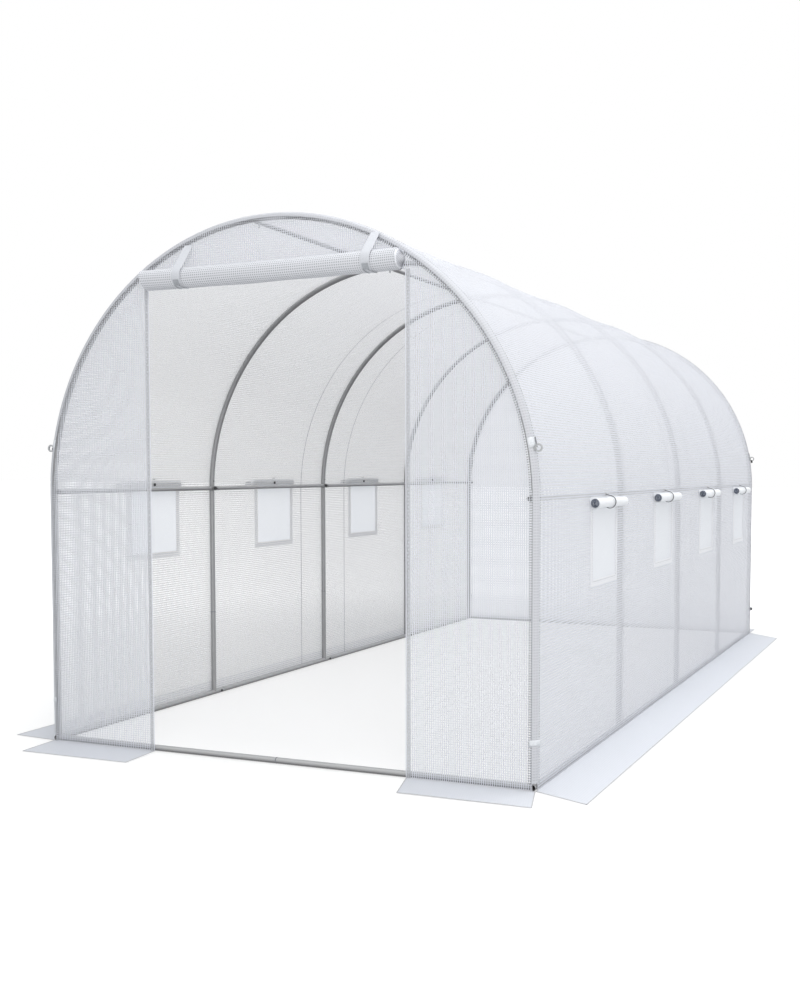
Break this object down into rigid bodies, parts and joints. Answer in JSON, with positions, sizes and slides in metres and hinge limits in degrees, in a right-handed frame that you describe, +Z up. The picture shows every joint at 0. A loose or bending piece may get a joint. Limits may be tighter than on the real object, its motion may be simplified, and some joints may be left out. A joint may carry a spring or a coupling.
{
  "type": "polytunnel greenhouse",
  "caption": "Walk-in polytunnel greenhouse: arched steel tube hoops under a reinforced translucent film cover, with a rolled-up zip door, netted side windows and ground flaps.",
  "frame": {"origin": "centre of the footprint over the ground flaps, on the ground", "axes": "+Z up, the doorway faces -Y, the tunnel runs along Y"},
  "size_m": [2.4046, 4.3546, 1.9543],
  "materials": {
    "galvanised_tube": "satin",
    "cover_film": "satin",
    "folded_film": "satin",
    "insect_net": "matte",
    "elastic": "matte",
    "zip_tape": "matte",
    "zinc_hardware": "satin",
    "button_plastic": "matte"
  },
  "bodies": {
    "root": {"back_cover_buttons": "button_plastic", "back_ground_flap": "cover_film", "back_guy_eyes": "zinc_hardware", "back_hoop": "galvanised_tube", "back_panel": "cover_film", "back_sill": "galvanised_tube", "door_roll": "folded_film", "door_straps": "folded_film", "door_zips": "zip_tape", "fourth_hoop": "galvanised_tube", "front_cover_buttons": "button_plastic", "front_gable": "cover_film", "front_guy_eyes": "zinc_hardware", "front_hoop": "galvanised_tube", "front_left_ground_flap": "cover_film", "front_left_panel": "cover_film", "front_right_ground_flap": "cover_film", "front_right_panel": "cover_film", "front_sill": "galvanised_tube", "left_base_rail": "galvanised_tube", "left_crown_cover": "cover_film", "left_ground_flap": "cover_film", "left_haunch_cover": "cover_film", "left_shoulder_cover": "cover_film", "left_side_rail": "galvanised_tube", "left_wall_cover": "cover_film", "left_window_borders": "folded_film", "left_window_nets": "insect_net", "left_window_rolls": "folded_film", "left_window_ties": "elastic", "middle_hoop": "galvanised_tube", "ridge_bar": "galvanised_tube", "right_base_rail": "galvanised_tube", "right_crown_cover": "cover_film", "right_ground_flap": "cover_film", "right_haunch_cover": "cover_film", "right_shoulder_cover": "cover_film", "right_side_rail": "galvanised_tube", "right_wall_cover": "cover_film", "right_window_borders": "folded_film", "right_window_nets": "insect_net", "right_window_rolls": "folded_film", "right_window_ties": "elastic", "second_hoop": "galvanised_tube"}
  },
  "joints": []
}
